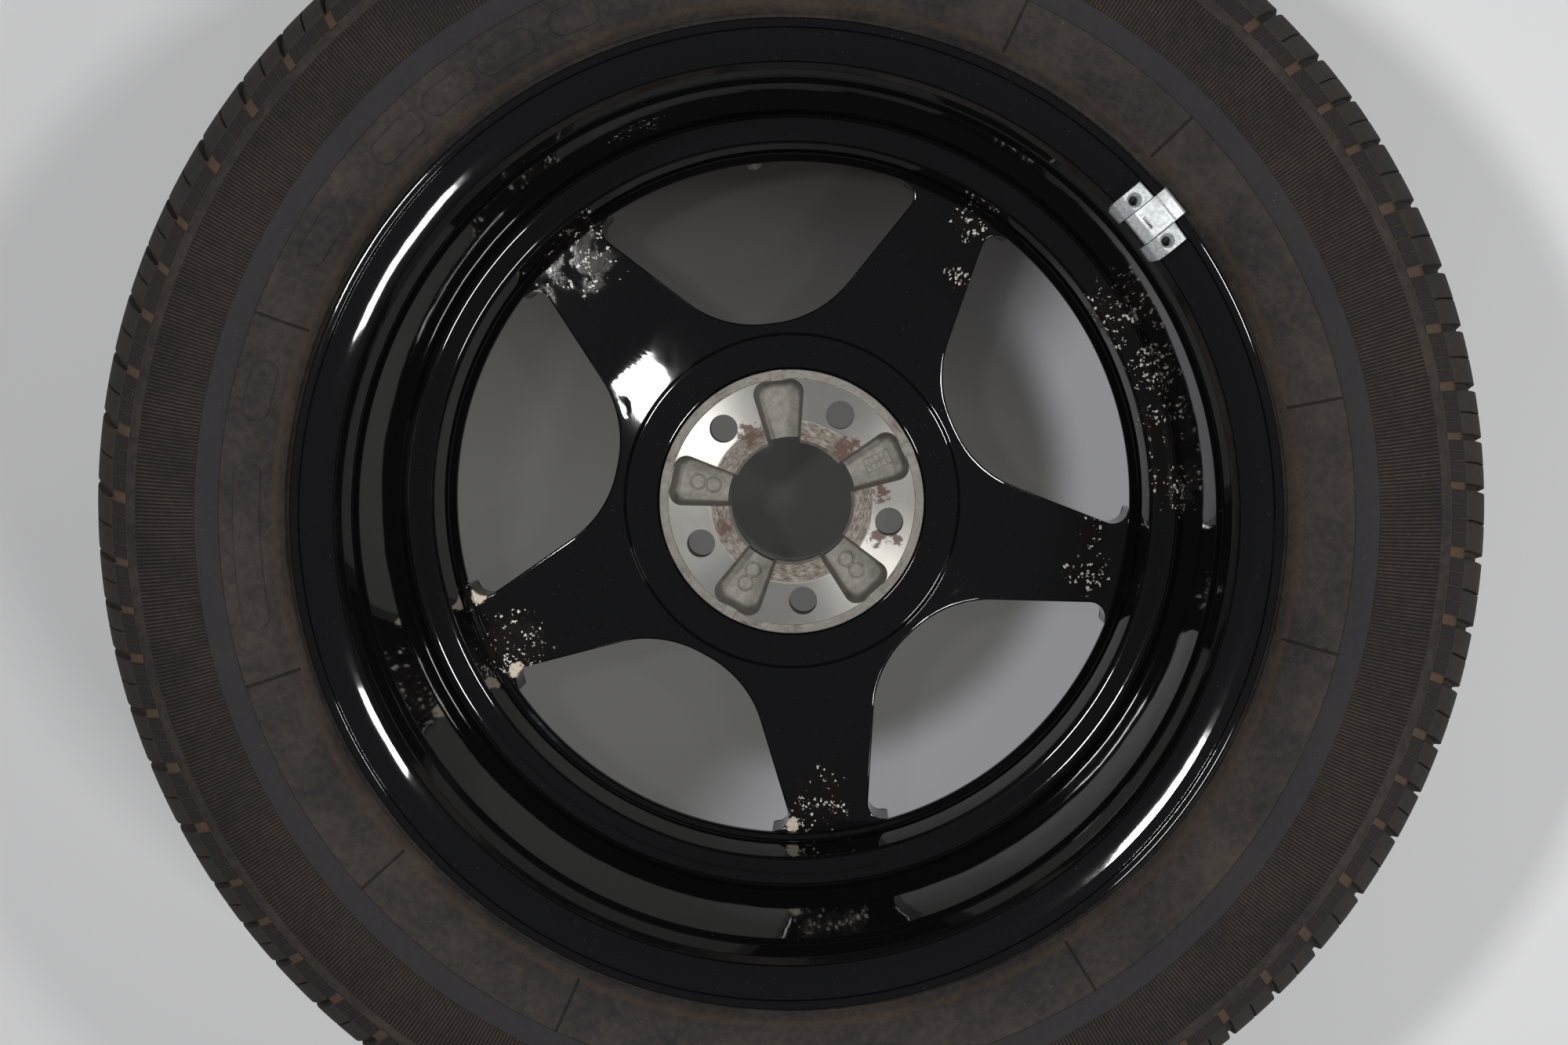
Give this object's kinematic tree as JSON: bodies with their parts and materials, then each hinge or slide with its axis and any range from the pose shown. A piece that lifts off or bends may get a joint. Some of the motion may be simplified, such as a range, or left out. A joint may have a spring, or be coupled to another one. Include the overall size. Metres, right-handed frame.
{
  "type": "spare wheel",
  "caption": "Car spare wheel: black cast alloy wheel with splayed spokes, mounted road tyre, tyre valve with core and cap, and a clip-on balance weight.",
  "frame": {"origin": "on the wheel's spin axis, half way between the two rim flanges, which is also the middle of the bounding box", "axes": "+Z along the spin axis, out of the wheel's back, towards the car's hub and brake; +X and +Y in the plane of the wheel, with +Y up as the picture shows it standing"},
  "size_m": [0.6785, 0.6786, 0.233],
  "materials": {
    "wheel_paint": "gloss black paint, bare metal at the hub face",
    "tyre_rubber": "matt, dusty brown",
    "weight_coating": "satin silver-grey coating",
    "clip_steel": "satin",
    "valve_rubber": "matt",
    "stem_brass": "dull",
    "cap_plastic": "matt, dusty",
    "seal_rubber": "matt",
    "core_brass": "turned",
    "core_ring": "matt",
    "pin_steel": "bright"
  },
  "bodies": {
    "wheel": {"alloy_wheel": "wheel_paint", "tyre": "tyre_rubber", "weight_body": "weight_coating", "weight_clip": "clip_steel", "valve_body": "valve_rubber", "valve_stem": "stem_brass", "core_plug": "core_brass", "core_barrel": "core_brass", "core_seal": "core_ring", "core_spring": "pin_steel"},
    "cap": {"valve_cap": "cap_plastic", "cap_seal": "seal_rubber"},
    "pin": {"core_pin": "pin_steel", "core_cup": "core_brass", "cup_seal": "seal_rubber"}
  },
  "joints": [
    {"name": "cap_off", "type": "slide", "parent": "wheel", "child": "cap", "axis": [0.0674, -0.5696, -0.8192], "range_m": [0, 0.012]},
    {"name": "pin_press", "type": "slide", "parent": "wheel", "child": "pin", "axis": [-0.0674, 0.5696, 0.8192], "range_m": [0, 0.0012], "stiffness_N_per_m": 1000, "deforming": ["core_spring"]}
  ]
}
